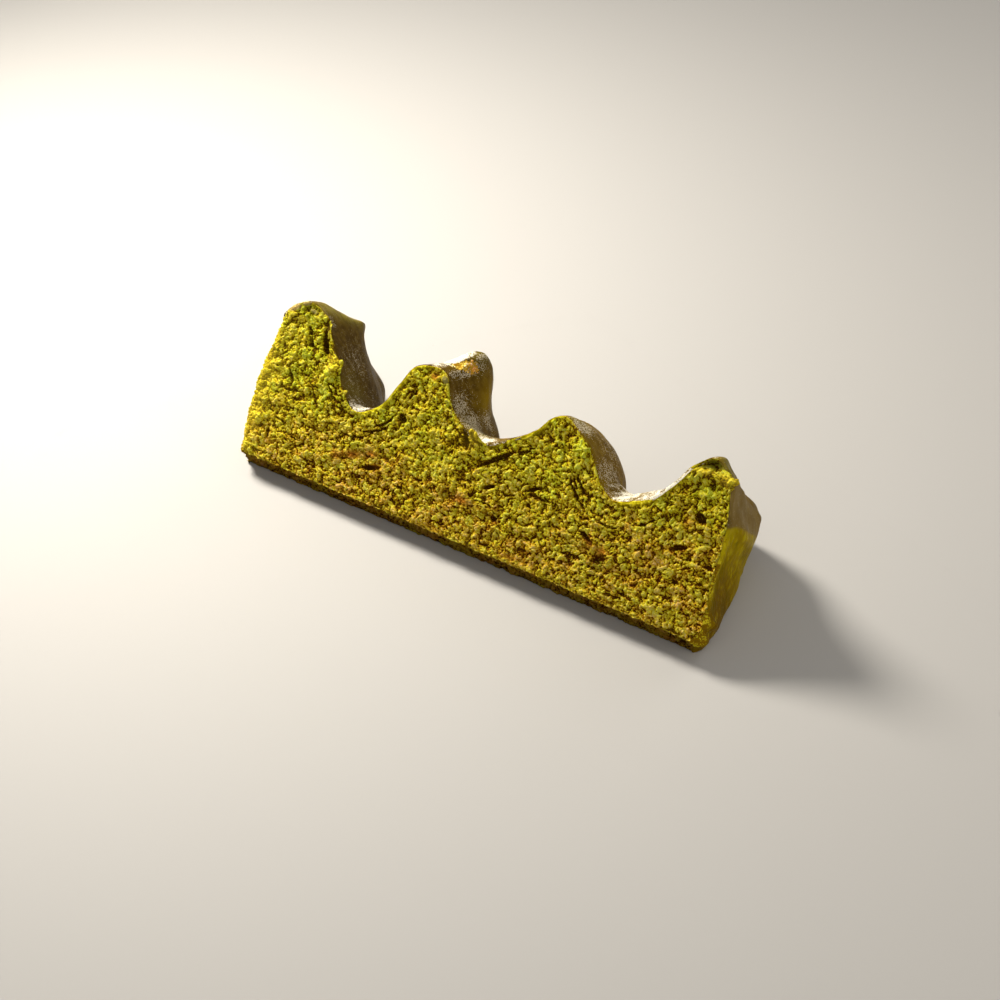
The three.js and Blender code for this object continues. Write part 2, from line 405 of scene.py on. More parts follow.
def grains(points, size, seed, smallest, largest):
    """Relief 0..1 of packed grains, each squashed or drawn out its own way, and the tone of each."""
    points = points / size
    home = np.floor(points).astype(np.int64)
    relief = np.zeros(len(points))
    tone = np.full(len(points), 0.5)
    for step in itertools.product((-1, 0, 1), repeat=3):
        cell = home + step
        x, y, z, girth, shade, bearing, tilt, squash = draws(cell, seed, 8)
        offset = points - cell - np.stack([x, y, z], 1)
        radius = np.clip(mix(smallest, largest, girth), 0, None)
        flat, upright = np.sqrt(1 - (2 * tilt - 1) ** 2), 2 * tilt - 1
        axis = np.stack([flat * np.cos(math.tau * bearing), flat * np.sin(math.tau * bearing), upright], 1)
        drawn = mix(*GRAIN_SQUASH, squash) * (offset * axis).sum(1) ** 2
        distance = np.sqrt(np.clip((offset**2).sum(1) + drawn, 0, None)) / np.maximum(radius, 1e-6)
        round_top, peak = np.sqrt(np.clip(1 - distance**2, 0, None)), np.clip(1 - distance, 0, None)
        swell = mix(round_top, peak, GRAIN_PEAK) * radius / largest
        higher = swell > relief
        relief[higher] = swell[higher]
        tone[higher] = shade[higher]
    return relief, tone


def cloud(points, size, seed):
    """Smooth noise from -1 to 1."""
    points = points / size
    home = np.floor(points).astype(np.int64)
    inside = points - home
    blend = inside * inside * (3 - 2 * inside)
    total = np.zeros(len(points))
    for corner in itertools.product((0, 1), repeat=3):
        weight = np.prod(np.where(np.array(corner) == 1, blend, 1 - blend), axis=1)
        total += weight * draws(home + corner, seed, 1)[0]
    return 2 * total - 1


def net(first, second, place):
    """Keys and quads of a net whose first count runs to the right and second upward, seen from outside."""
    a, b = np.meshgrid(first, second, indexing="ij")
    keys = np.stack(np.broadcast_arrays(*place(a.ravel(), b.ravel())), 1).astype(float)
    index = np.arange(a.size).reshape(a.shape)
    quads = np.stack([index[:-1, :-1], index[1:, :-1], index[1:, 1:], index[:-1, 1:]], -1)
    return keys, quads.reshape(-1, 4)


def weld(nets):
    """Shared keys of several nets that meet at equal keys, and each net's quads."""
    keys, place = np.unique(np.vstack([net_keys for net_keys, _ in nets]), axis=0, return_inverse=True)
    starts = np.cumsum([0] + [len(net_keys) for net_keys, _ in nets])
    return keys, [place.ravel()[quads + start] for (_, quads), start in zip(nets, starts)]


def unit(vectors):
    return vectors / np.maximum(np.linalg.norm(vectors, axis=1, keepdims=True), 1e-12)


def gathered(places, vectors, count):
    """Sum of the vectors that belong to each of count places."""
    return np.stack([np.bincount(places, vectors[:, axis], count) for axis in range(3)], 1)


def face_normals_at_points(points, quads):
    corners = points[quads]
    facing = np.cross(corners[:, 2] - corners[:, 0], corners[:, 3] - corners[:, 1])
    return unit(sum(gathered(quads[:, side], facing, len(points)) for side in range(4)))


def softened(vectors, quads, rounds):
    """Vectors averaged with their neighbours' a number of times."""
    ends = np.vstack([quads[:, [0, 1]], quads[:, [1, 2]], quads[:, [2, 3]], quads[:, [3, 0]]])
    ends = np.vstack([ends, ends[:, ::-1]])
    for _ in range(rounds):
        vectors = unit(vectors + gathered(ends[:, 0], vectors[ends[:, 1]], len(vectors)))
    return vectors


def skin_neighbour(station, level):
    """Nearest place of the outline: distance along it and below it, and how steeply it rises there."""
    share, height = dense_outline().T
    line = np.stack([skin_station_of(share, height), height], 1)
    line, stops = spaced(line, np.linalg.norm(np.diff(line, axis=0), axis=1), SKIN_SAMPLES)
    line = line.T
    heading = unit(np.gradient(line, axis=0))
    along, below, rising = (np.empty_like(station) for _ in range(3))
    for part in np.array_split(np.arange(len(station)), len(station) // SKIN_BATCH + 1):
        spot = np.stack([station[part], level[part]], 1)
        gaps = (spot[:, None, 0] - line[None, :, 0]) ** 2 + (spot[:, None, 1] - line[None, :, 1]) ** 2
        nearest = gaps.argmin(1)
        along[part] = stops[nearest] + ((spot - line[nearest]) * heading[nearest]).sum(1)
        below[part] = np.sqrt(gaps[np.arange(len(part)), nearest])
        rising[part] = heading[nearest, 1]
    return along, below, rising


def lumps(station, height):
    """Soft lumps of the cut face, as crossed waves bent by slower ones."""
    x, y = station / LUMP_SIZE, height / LUMP_SIZE
    slow = np.sin(2.1 * x + 1.3 * np.sin(1.7 * y)) * np.sin(2.4 * y + 1.1 * np.sin(1.9 * x))
    quick = np.sin(4.3 * x - 2.2 * y + 0.7) * np.sin(3.9 * y + 2.7 * x)
    return LUMP_HEIGHT * (0.65 * slow + 0.35 * quick)


def hole_depth(station, height):
    depth = np.zeros_like(station)
    for hole in HOLES.values():
        along, across = leant(station - hole.station, height - hole.height, hole.lean)
        distance = np.hypot(along / hole.length, across / hole.width) * 2
        depth += hole.depth * bell(distance**2, 1)
    return depth


def flake_moves(station, height):
    """Rise over the cut, and push along and up, of the flakes."""
    moves = np.zeros((3, len(station)))
    for flake in FLAKES.values():
        weight = bell(station - flake.station, flake.length) * bell(height - flake.height, flake.width)
        moves += np.outer([flake.rise, flake.along, flake.up], weight)
    return moves


class Place:
    """Where the points of a net lie on the cake."""

    def __init__(self, keys, columns):
        column = keys[:, 0].astype(int)
        self.share, self.height = (values[column] for values in columns)
        self.skin_station = skin_station_of(self.share, self.height)
        self.rise, self.turn = keys[:, 1], keys[:, 2]
        self.level = self.rise * self.height
        where = (self.share, self.height, self.rise, self.turn)
        self.points = block_points(*where, [*SKIN_HUMPS.values(), *SMALL_HUMPS.values()])
        self.radius = np.hypot(self.points[:, 1], self.points[:, 2])
        along, backward = dressed_moves(*where, self.radius)
        round_ring = np.stack([along * 0, self.points[:, 2], -self.points[:, 1]], 1) / self.radius[:, None]
        self.points += along[:, None] * [1, 0, 0] + backward[:, None] * round_ring
        self.station = self.points[:, 0]
        self.behind = np.radians(self.turn) * self.radius
        self.before = np.radians(CUT_TURN - self.turn) * self.radius
        self.from_cut_end = self.share * LENGTH


def torn_pores(place, skin_along, below_skin, warp):
    """Depth 0..1 of the pores."""
    by_skin = np.stack([skin_along, below_skin, place.behind], 1) + warp
    by_layer = np.stack([place.station, place.level, place.behind], 1) + warp
    deep = ramp01(below_skin, *SKIN_LAYERS)
    pore = (1 - deep) * grains(by_skin / PORE_CELL, *SKIN_PORES)[0]
    pore = np.maximum(pore, LAYER_PORE_SHARE * deep * grains(by_layer / PORE_CELL, *LAYER_PORES)[0])
    return ramp01(pore, *PORE_STEP)


def crumb_pattern(place, skin_along, below_skin):
    """Relief in millimetres, depth of colour with darker pores and creases (partly painted shade), and tone
    of the torn crumb.
    """
    points = place.points.copy()
    for size, reach, seed in WARPS:
        points += reach * np.stack([cloud(place.points, size, seed + axis) for axis in range(3)], 1)
    relief, depth_and_shade, tone = np.zeros((3, len(points)))
    for layer in CRUMB_LAYERS:
        grain, grain_tone = grains(points, *layer.grains)
        relief += layer.rise * (grain - layer.level)
        depth_and_shade += layer.depth * grain
        tone += layer.tone * grain_tone
    pore = torn_pores(place, skin_along, below_skin, points - place.points)
    relief -= PORE_DEPTH * pore
    depth_and_shade -= PORE_SHADE * pore
    for size, sharpness, depth, seed in CREASES:
        crease = depth * bell(cloud(place.points, size, seed), sharpness)
        relief -= crease
        depth_and_shade -= CREASE_SHADE * crease
    return relief, depth_and_shade, tone


def ranked(values):
    """Each value's place among them all, from 0 to 1."""
    order = np.sort(values)
    return np.searchsorted(order, values) / len(values)


def edge_distance(place):
    """How far each point of a cut face is from the nearest other cut face or the inner wall."""
    distances = np.stack([place.from_cut_end, place.level, place.behind, place.before], 1)
    return np.sort(distances, axis=1)[:, 1]


def crumb_surface(place, quads):
    """Points and colour masks of the cut faces with their crumb."""
    normals = softened(face_normals_at_points(place.points, quads), quads, CRUMB_ROUNDS)
    skin_along, below_skin, rising = skin_neighbour(place.station, place.level)
    relief, depth_and_shade, tone = crumb_pattern(place, skin_along, below_skin)
    front = bell(place.behind, FRONT_REACH)
    height = place.radius - INNER_RADIUS
    from_edge = edge_distance(place)
    border = ramp01(from_edge, *LUMP_BORDER) * ramp01(place.height - place.level, *LUMP_BORDER)
    relief += front * border * lumps(place.station, height)
    holes = front * hole_depth(place.station, height)
    relief -= holes
    depth_and_shade -= HOLE_SHADE * holes
    flake, along, up = front * flake_moves(place.station, height)
    relief += flake
    film = front * marked(FILM_MARKS, place.station, height)
    relief = mix(relief, FILM_RISE, film)
    relief = np.where(relief < 0, relief * ramp01(below_skin, *SKIN_EDGE_FADE), relief)
    ragged = RAGGED_RISE * front * bell(below_skin, RAGGED_REACH) * ramp01(rising, *RAGGED_SLOPE)
    ragged *= ramp01(relief, *RAGGED_GRAINS)
    rind = front * bell(below_skin, RIND_REACH) * ramp01(rising, *RIND_SLOPE)
    rind *= ramp01(place.station, *RIND_START) * ramp01(place.station, *RIND_STOP)
    rounding = RIND_ROUNDING["depth"] * rind * bell(below_skin, RIND_ROUNDING["reach"])
    relief = mix(relief, RIND_RISE, RIND_SHARE * rind) - rounding
    under_coat = np.minimum(place.behind, place.from_cut_end) * (place.rise >= CRUMB_TOP)
    under_end = place.behind * (place.share >= CRUMB_END)
    relief *= np.exp(-np.maximum(under_coat, under_end) / LIP_FADE)
    relief -= EDGE_ROUNDING * bell(from_edge, EDGE_REACH)
    points = place.points + normals * relief[:, None]
    uphill = np.array([0, math.cos(math.radians(CUT_TURN)), math.sin(math.radians(CUT_TURN))])
    along -= ragged * rising
    up += ragged * np.sqrt(1 - rising**2)
    points += along[:, None] * [1, 0, 0] + up[:, None] * uphill
    points[:, 2] = np.maximum(points[:, 2], 0)
    # The relief mask ranks the colour's depth, whose low end is partly painted shade
    masks = {"relief": ranked(depth_and_shade), "tone": ranked(tone), "film": film, "rind": rind}
    return points, {**masks, **crumb_marks(place, height, front)}


# How green the crumb is: more upward, most in the ridge by the cut end, and less low in the last ridge
FRESH = {"share": 0.62, "levels": (2, 26)}
FIRST_RIDGE_FRESH = {"stations": (-20, -55), "levels": (24, 38), "top": 0.3, "all": 0.12}
LAST_RIDGE_FRESH = {"stations": (20, 50), "levels": (34, 22), "loss": 0.35}
# Painted shade on the cut end, and a darker crust with painted shade on the underside: their reach round an
# edge, and how far behind the front they start
CUT_END_SHADE = {"reach": 0.6, "start": (1.5, 6)}
UNDERSIDE_CRUST_AND_SHADE = {"reach": 0.6, "start": (0.2, 1.2)}


def freshness(place):
    first, last = FIRST_RIDGE_FRESH, LAST_RIDGE_FRESH
    more = first["top"] * ramp01(place.level, *first["levels"]) + first["all"]
    less = last["loss"] * ramp01(place.station, *last["stations"]) * ramp01(place.level, *last["levels"])
    fresh = FRESH["share"] * ramp01(place.level, *FRESH["levels"])
    return np.clip(fresh + ramp01(place.station, *first["stations"]) * more - less, 0, 1)


# Colour marks of the front face: length and width of each, which leans by these degrees
Mark = namedtuple("Mark", "station height length width lean strength")
BAKED_BANDS = [
    Mark(-36.0, 11.6, 8.0, 1.3, 16, 0.75),
    Mark(-1.0, 10.9, 9.0, 1.2, -3, 0.8),
    Mark(31.0, 12.8, 9.0, 1.1, -4, 0.6),
    Mark(12.0, 5.6, 16.0, 0.9, 0, 0.35),
    Mark(-50.0, 15.6, 10.0, 1.6, 0, 0.35),
]
BAKED_SPOTS = [
    Mark(-2.5, 11.1, 1.6, 0.9, 0, 1.0),
    Mark(38.4, 12.4, 1.4, 0.8, 0, 0.9),
    Mark(-41.3, 9.4, 1.6, 0.8, 20, 0.8),
    Mark(-36.8, 11.1, 2.4, 0.9, 15, 1.0),
    Mark(-28.6, 10.2, 1.8, 1.0, 0, 0.8),
    Mark(-31.2, 13.2, 1.6, 0.9, 20, 0.9),
    Mark(-20.6, 38.4, 1.4, 1.0, 0, 1.0),
    Mark(15.5, 2.2, 2.4, 0.9, 0, 0.8),
    Mark(57.5, 27.3, 1.6, 1.4, 0, 0.5),
]
GREEN_MARKS = [
    Mark(38.6, 9.8, 2.0, 1.4, 30, 0.9),
    Mark(58.8, 43.2, 3.6, 1.5, 0, 0.9),
    Mark(-60.5, 43.4, 4.0, 1.3, 0, 0.6),
    Mark(-14.4, 36.6, 1.6, 2.2, 0, 0.8),
    Mark(8.0, 32.0, 9.0, 1.2, 28, 0.5),
]
# Painted light: lighter, yellower crumb where light catches the cut end's edge, the bottom edge and some
# clumps
PAINTED_LIGHT_MARKS = [
    Mark(63.2, 40.4, 2.2, 1.6, 0, 1.0),
    Mark(56.4, 40.2, 3.6, 0.9, 10, 0.7),
    Mark(-69.5, 18.0, 2.6, 26.0, 0, 1.0),
    Mark(-67.0, 20.0, 8.0, 30.0, 0, 0.2),
    Mark(-4.6, 26.8, 2.6, 2.4, 0, 0.9),
    Mark(-51.0, 32.0, 1.8, 2.6, 0, 0.5),
    Mark(10.0, 0.8, 60.0, 0.9, 0, 0.35),
]
# Smooth flakes of glaze lying on the crumb
FILM_MARKS = [
    Mark(-17.2, 38.5, 1.3, 1.0, -30, 1.0),
    Mark(-14.5, 37.2, 1.2, 1.2, -40, 0.9),
    Mark(-66.6, 42.3, 2.2, 1.0, 35, 1.0),
    Mark(-63.4, 44.4, 1.6, 0.8, 20, 0.9),
    Mark(-60.6, 43.0, 1.5, 0.7, -10, 0.8),
    Mark(-57.6, 44.0, 1.2, 0.8, -30, 0.8),
]
CREAM_MARKS = [
    Mark(-66.8, 42.2, 3.0, 2.0, 35, 1.0),
    Mark(-63.4, 44.6, 1.6, 1.2, 20, 0.5),
]
FILM_RISE = 0.25
# How far behind the front the painted light reaches
PAINTED_LIGHT_REACH = 3


def marked(marks, station, height):
    """Strength 0..1 of the marks at each place."""
    total = np.zeros_like(station)
    for mark in marks:
        along, across = leant(station - mark.station, height - mark.height, mark.lean)
        total = np.maximum(total, mark.strength * bell(along, mark.length) * bell(across, mark.width))
    return total


def crumb_marks(place, height, front):
    return {
        "fresh": freshness(place),
        "bake": front * marked(BAKED_BANDS, place.station, height),
        "spot": front * marked(BAKED_SPOTS, place.station, height),
        "green": front * marked(GREEN_MARKS, place.station, height),
        # Painted light on the crumb
        "painted_light": bell(place.behind, PAINTED_LIGHT_REACH) * marked(PAINTED_LIGHT_MARKS, place.station, height),
        "cream": marked(CREAM_MARKS, place.station, height),
        # Painted shade: the cut end away from the front edge is darkened
        "side": bell(place.from_cut_end, CUT_END_SHADE["reach"]) * ramp01(place.behind, *CUT_END_SHADE["start"]),
        # Darker crust with painted shade on the inner wall underneath
        "under": bell(place.level, UNDERSIDE_CRUST_AND_SHADE["reach"]) * ramp01(place.behind, *UNDERSIDE_CRUST_AND_SHADE["start"]),
    }


def mesh_object(name, points, quads, masks, offset):
    """A smooth mesh in metres, with its masks as point attributes."""
    mesh = bpy.data.meshes.new(name)
    used, quads = np.unique(quads, return_inverse=True)
    quads = quads.reshape(-1, 4)
    masks = {mask: values[used] for mask, values in masks.items()}
    points = (points[used] + offset) * MM
    mesh.vertices.add(len(points))
    mesh.vertices.foreach_set("co", points.astype(np.float32).ravel())
    mesh.loops.add(quads.size)
    mesh.loops.foreach_set("vertex_index", quads.astype(np.int32).ravel())
    mesh.polygons.add(len(quads))
    mesh.polygons.foreach_set("loop_start", np.arange(0, quads.size, 4, dtype=np.int32))
    mesh.polygons.foreach_set("use_smooth", np.ones(len(quads), bool))
    mesh.update(calc_edges=True)
    for mask, values in masks.items():
        attribute = mesh.attributes.new(mask, "FLOAT", "POINT")
        attribute.data.foreach_set("value", np.clip(values, 0, 1).astype(np.float32))
    piece = bpy.data.objects.new(name, mesh)
    bpy.context.scene.collection.objects.link(piece)
    return piece


def cake_offset():
    """From the ring's axis to the frame: the wedge's skin and glazed end touch the solid's box."""
    share, height = outline_columns(CRUMB_COLUMNS, 1)
    turns, rises = np.linspace(0, CUT_TURN, CRUMB_TURNS + 1), np.linspace(0, 1, CRUMB_RISES + 1)
    columns, turn = (grid.ravel() for grid in np.meshgrid(np.arange(len(share)), turns, indexing="ij"))
    skin = block_points(share[columns], height[columns], np.ones_like(turn), turn, SKIN_HUMPS.values())
    rise, turn = (grid.ravel() for grid in np.meshgrid(rises, turns, indexing="ij"))
    end = block_points(np.ones_like(rise), np.full_like(rise, height[-1]), rise, turn, SKIN_HUMPS.values())
    high = np.array(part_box("cake")[1]) / MM
    return np.array([high[0] - max(skin[:, 0].max(), end[:, 0].max()), high[1] - skin[:, 1].max(), 0])


def cut_columns(count):
    """Share and height of the cut faces' columns, which stop just under the coat of the glazed end."""
    share, height = outline_columns(count, 0.5)
    return share * CRUMB_END, height


def crumb_pieces(offset):
    """The front cut face in two halves, and the cut end with the inner wall."""
    first = np.arange(CRUMB_COLUMNS + 1)
    middle = CRUMB_COLUMNS // 2
    near, far = first[: middle + 1], first[middle:]
    rises = np.linspace(0, CRUMB_TOP, CRUMB_RISES + 1)
    turns = np.linspace(0, CUT_TURN, CRUMB_TURNS + 1)
    lip, beyond = turns[: LIP_TURNS + 1], turns[LIP_TURNS:]
    keys, sides = weld(
        [
            net(near, rises, lambda a, b: (a, b, 0)),
            net(near, lip, lambda a, b: (a, CRUMB_TOP, b)),
            net(far, rises, lambda a, b: (a, b, 0)),
            net(far, lip, lambda a, b: (a, CRUMB_TOP, b)),
            net(lip, rises, lambda a, b: (CRUMB_COLUMNS, b, a)),
            net(turns[::-1], rises, lambda a, b: (0, b, a)),
            net(first[::-1], turns[::INNER_TURN_STEP], lambda a, b: (a, 0, b)),
            net(first[:LIP_COLUMNS], beyond, lambda a, b: (a, CRUMB_TOP, b)),
        ]
    )
    points, masks = crumb_surface(Place(keys, cut_columns(CRUMB_COLUMNS)), np.vstack(sides))
    pieces = {"crumb_front_left": sides[:2], "crumb_front_right": sides[2:5], "crumb_end": sides[5:]}
    return [mesh_object(name, points, np.vstack(quads), masks, offset) for name, quads in pieces.items()]


def base_piece(offset):
    """The rear cut face, which the stick lies on."""
    first = np.arange(BASE_COLUMNS + 1)
    rises = np.linspace(0, CRUMB_TOP, BASE_RISES + 1)
    keys, quads = net(first[::-1], rises, lambda a, b: (a, b, CUT_TURN))
    points, masks = crumb_surface(Place(keys, cut_columns(BASE_COLUMNS)), quads)
    return mesh_object("crumb_base", points, quads, masks, offset)


# Glaze marks of the skin, placed as its humps are
Patch = namedtuple("Patch", "at turn reach spread strength")
# Sugar, with painted highlight on the lit rim of the knob
SUGAR_AND_HIGHLIGHT_PATCHES = [
    Patch(-39.6, 3, 4.4, 5, 0.95),
    Patch(-1.0, 2.5, 3.6, 3, 0.95),
    Patch(-6.0, 8, 1.6, 5, 0.45),
    Patch(39.0, 6, 5.0, 11, 0.9),
    Patch(46.0, 4, 6.0, 8, 0.85),
    Patch(34.0, 8, 2.0, 8, 0.6),
    Patch(-21.6, 3, 2.0, 4, 0.8),
    Patch(-21.2, 9, 2.2, 5.0, 1.45),
    Patch(-20.6, 13.6, 1.7, 3.2, 1.3),
    Patch(-19.0, 12.6, 1.0, 2.2, 1.0),
    Patch(-19.8, 11.4, 1.3, 2.6, 1.2),
    Patch(-20.4, 6.0, 1.4, 3.4, 0.9),
    Patch(20.0, 3, 1.6, 5, 0.5),
    Patch(-62.5, 1.5, 3.0, 3, 0.3),
]
SPECKLED_PATCHES = [
    Patch(-17.0, 4.5, 1.0, 5, 0.7),
    Patch(-16.4, 10.0, 0.8, 5.0, 0.95),
    Patch(-16.0, 14.5, 1.0, 3.5, 0.6),
    Patch(-17.4, 15.5, 1.0, 3.0, 0.8),
    Patch(-12.4, 6.0, 2.8, 7, 0.75),
    Patch(-5.0, 6.0, 3.4, 9, 0.8),
    Patch(-9.0, 9, 3.2, 9, 0.9),
    Patch(-10.4, 23, 1.6, 6, 0.7),
    Patch(-43.6, 10, 2.0, 9, 0.5),
    Patch(-47.0, 22, 3.0, 10, 0.3),
    Patch(30.5, 9, 3.2, 11, 0.68),
    Patch(25.0, 16, 5.0, 10, 0.48),
    Patch(21.0, 4, 3.0, 7, 0.8),
    Patch(-50.0, 14, 4.5, 14, 0.4),
    Patch(-47.0, 9, 3.0, 8, 0.4),
    Patch(-56.0, 3, 2.2, 2.5, 0.5),
]
OLIVE_PATCHES = [
    Patch(-12.7, 20.0, 2.0, 4.2, 0.9),
    Patch(32.0, 2.4, 1.2, 2.2, 0.9),
    Patch(25.2, 3.5, 2.2, 3.5, 0.5),
    Patch(-57.8, 19, 2.4, 3.0, 0.4),
    Patch(-45.5, 10, 2.6, 8.0, 0.25),
]
SAGE_PATCHES = [
    Patch(61.4, 2.5, 3.0, 7, 1.0),
    Patch(-59.6, 6, 2.6, 7, 0.9),
    Patch(-57.8, 14, 1.6, 8, 1.0),
    Patch(-6.0, 6, 3.6, 8, 0.7),
    Patch(-18.0, 15.5, 2.0, 3, 0.7),
    Patch(-45.5, 9, 2.6, 8, 0.5),
    Patch(19.5, 4, 2.4, 5, 0.7),
]
# Place on the knob where the glaze has come off: heading round the ring, half its length and width
CRATER = {"station": -17.6, "turn": 9.4, "heading": 63, "length": 3.7, "width": 1.05, "depth": 0.6}
# Distances from its middle, in its own size: bare from here in, and sugar from here out; then the sugar
# with painted highlight round its upper left, and where along it the crumb turns orange
CRATER_EDGE = (1.4, 0.6)
CRATER_CLEAR = (0.7, 1.1)
CRATER_SUGAR_AND_HIGHLIGHT = {"distance": 1.4, "reach": 0.4, "across": (-0.3, 0.8), "along": (0.5, -0.2)}
CRATER_ORANGE = (-0.3, 0.7)
# Swellings and hollows of the glaze down the glazed end, placed as its humps are
END_SWELLS = {
    "upper_drop": EndHump(6.3, 14, 1.9, 10, 1.8),
    "lower_drop": EndHump(2.2, 24, 1.5, 16, 1.3),
    "drop_crease": EndHump(4.2, 20, 0.9, 16, -0.8),
    "film_foot": EndHump(30.0, 13, 2.6, 12, 0.9),
    "film_hollow": EndHump(35.5, 15, 2.4, 10, -0.6),
    "side_crumb": EndHump(31, 52, 1.3, 4, 1.0),
    "front_groove": EndHump(20.0, 9, 6.0, 4, -0.5),
}
# Greyer film on the upper part of the glazed end: its lower edge climbs with each degree of turn, it
# thins towards the back, and a little sugar lies on it
END_FILM = {"height": 29.2, "climb": 0.16, "step": (-0.5, 0.5)}
END_FILM_WAVER = {"reach": 0.5, "size": 5.0, "seed": 38}
END_FILM_BACK = {"loss": 0.7, "turns": (24, 46)}
END_FILM_SUGAR = 0.2
# Crumb that shows through the glazed end below its film, drawn out slantwise: its relief grows from the
# first value to the second at the front edge
END_MOSS = Grains(0.9, 39, 0.4, 0.8)
END_MOSS_CLOUD = {"size": 3.0, "seed": 40, "share": 0.5}
END_MOSS_STRETCH = 0.6
END_MOSS_RISE = (0.14, 0.45)
END_MOSS_REACH = 4.0
END_MOSS_CONTRAST = 0.6
# Levels between which the glazed end turns browner downward, how brown the olive of the skin is, and
# levels where the foot of the skin starts
END_BROWN = (30, 12)
SKIN_BROWN = 0.6
SKIN_FOOT = (38, 24)
# Lighter strip down the front edge of the glazed end, and bare crumb along it and at its foot
END_EDGE_REACH = 3.0
END_EDGE_LEVELS = (8, 16)
TORN_EDGE_REACH = 1.5
TORN_FOOT = {"level": 1.0, "behind": 1.0, "rise": 4.5, "reach": 4.0}
TORN_FADE = 3
TORN_WANDER = {"size": 4.0, "seed": 37, "step": (-0.6, 0.5)}
# Sugar on the crests, in the valleys and along the rim, as (station, strength), and how flat the skin
# is and how high it lies where they count; the white is partly sugar and partly painted sheen on flat
# upward places and painted highlight on rims that face the cut end. And where painted light brightens the
# glaze
CREST_SUGAR_AND_SHEEN = [(-62, 0.1), (-30, 0.3), (25, 0.3), (52, 0.0)]
VALLEY_SUGAR_AND_SHEEN = [(-40, 0.9), (-20, 0.6), (-6, 0.3), (2, 0.6), (30, 0.9), (40, 1.0)]
RIM_SUGAR_AND_HIGHLIGHT = [
    *[(-66, 0.55), (-61, 0.50), (-57, 0.10), (-46, 0.30), (-42, 0.60), (-34, 0.50), (-31, 0.00)],
    *[(-10, 0.40), (8, 0.50), (13, 0.00), (34, 0.80), (52, 0.85), (56, 0.50), (61, 0.45), (64, 0.10)],
]
RIM_SUGAR_AND_HIGHLIGHT_REACH = 0.5
FACING_CUT_END = (0.3, -0.15)
SUGAR_AND_SHEEN_FLATNESS = (0.86, 0.985)
VALLEY_HEIGHTS = (36, 29)
PAINTED_GLAZE_LIGHT_STATIONS = (-30, 26)
# Relief of the coat: waves as (rise, size, seed), crystals of sugar, crumbs where the glaze is bare or
# torn, and streaks drawn out along the skin
COAT_WAVES = [(0.16, 5.5, 31), (0.08, 2.2, 32)]
CRYSTALS = Grains(0.75, 34, 0.3, 0.7)
CRYSTAL_RISE = 0.14
SPECKLE_CRUST = 0.9
BARE_CRUMBS = Grains(0.85, 35, 0.4, 0.8)
BARE_RISE = 0.8
TORN_RISE = 0.9
TORN_DEPTH = 0.2
STREAKS = {"stretch": (0.16, 1, 0.16), "size": 1.3, "seed": 33, "rise": 0.05}


def patched(patches, place):
    """Strength of the patches at each place of the skin."""
    total = np.zeros_like(place.turn)
    for patch in patches:
        total = np.maximum(total, patch.strength * weight_of(patch, place.skin_station, place.turn))
    return total


def graded(count, span, fine):
    """Values from 0 to span, closer together near both ends over the distance fine."""
    even = np.linspace(0, 1, count + 1)
    rim = RIM_STEPS * fine
    middle = even[1:-1] * (span - 2 * rim[-1]) + rim[-1]
    return np.concatenate([rim, middle, span - rim[::-1]])


def coat_path():
    """Share, height and rise of the coat's columns, over the skin and then down the glazed end."""
    share, height = outline_columns(COAT_COLUMNS, 1)
    rim_share = RIM_STEPS * RIM_RADIUS / LENGTH
    beyond_rim = share > rim_share[-1] * RIM_GAP
    share = np.concatenate([rim_share, share[beyond_rim]])
    height = np.concatenate([np.interp(rim_share, *dense_outline().T), height[beyond_rim]])
    down = graded(COAT_END_RISES, height[-1], RIM_RADIUS)[::-1][1:] / height[-1]
    path_share = np.concatenate([share, np.ones(len(down))])
    path_height = np.concatenate([height, np.full(len(down), height[-1])])
    return path_share, path_height, np.concatenate([np.ones(len(share)), down])


def coat_piece(offset):
    """The sugar glaze over the skin and down the glazed end, as one thin coat with a rounded rim."""
    share, height, rise = coat_path()
    mean_radius = INNER_RADIUS + height[rise == 1].mean()
    turns = graded(COAT_TURNS, CUT_TURN, math.degrees(RIM_RADIUS / mean_radius))
    keys, quads = net(np.arange(len(share)), turns, lambda a, b: (a, rise[a], b))
    column = keys[:, 0].astype(int)
    radius = INNER_RADIUS + keys[:, 1] * height[column]
    from_front = np.radians(keys[:, 2]) * radius
    climb = np.gradient(height * rise) / np.maximum(np.gradient(share) * LENGTH, LEAST_RUN)
    rising = ramp01(climb, *RIM_SLOPE)[column]
    proud = listed(RIM_PROUD, skin_station_of(share, height))[column]
    waver = cloud(keys[:, :1] * [RIM_WAVER["step"], 0, 0], RIM_WAVER["size"], RIM_WAVER["seed"])
    setback = mix(RIM_SETBACK, -proud, rising) + RIM_WAVER["reach"] * (0.5 + 0.5 * waver)
    keys[:, 2] += np.degrees(setback / radius) * (1 - keys[:, 2] / CUT_TURN)
    points, masks = coat_surface(Place(keys, (share, height)), quads, from_front)
    return mesh_object("glaze", points, quads, masks, offset)


def crater_distance(place):
    """Distance from the crater's middle, 1 on its edge, and a place's share of its length and width."""
    behind = np.radians(place.turn - CRATER["turn"]) * (INNER_RADIUS + place.height)
    lengthwise, across = leant(place.skin_station - CRATER["station"], behind, CRATER["heading"])
    lengthwise, across = lengthwise / CRATER["length"], across / CRATER["width"]
    return np.hypot(lengthwise, across), lengthwise, across


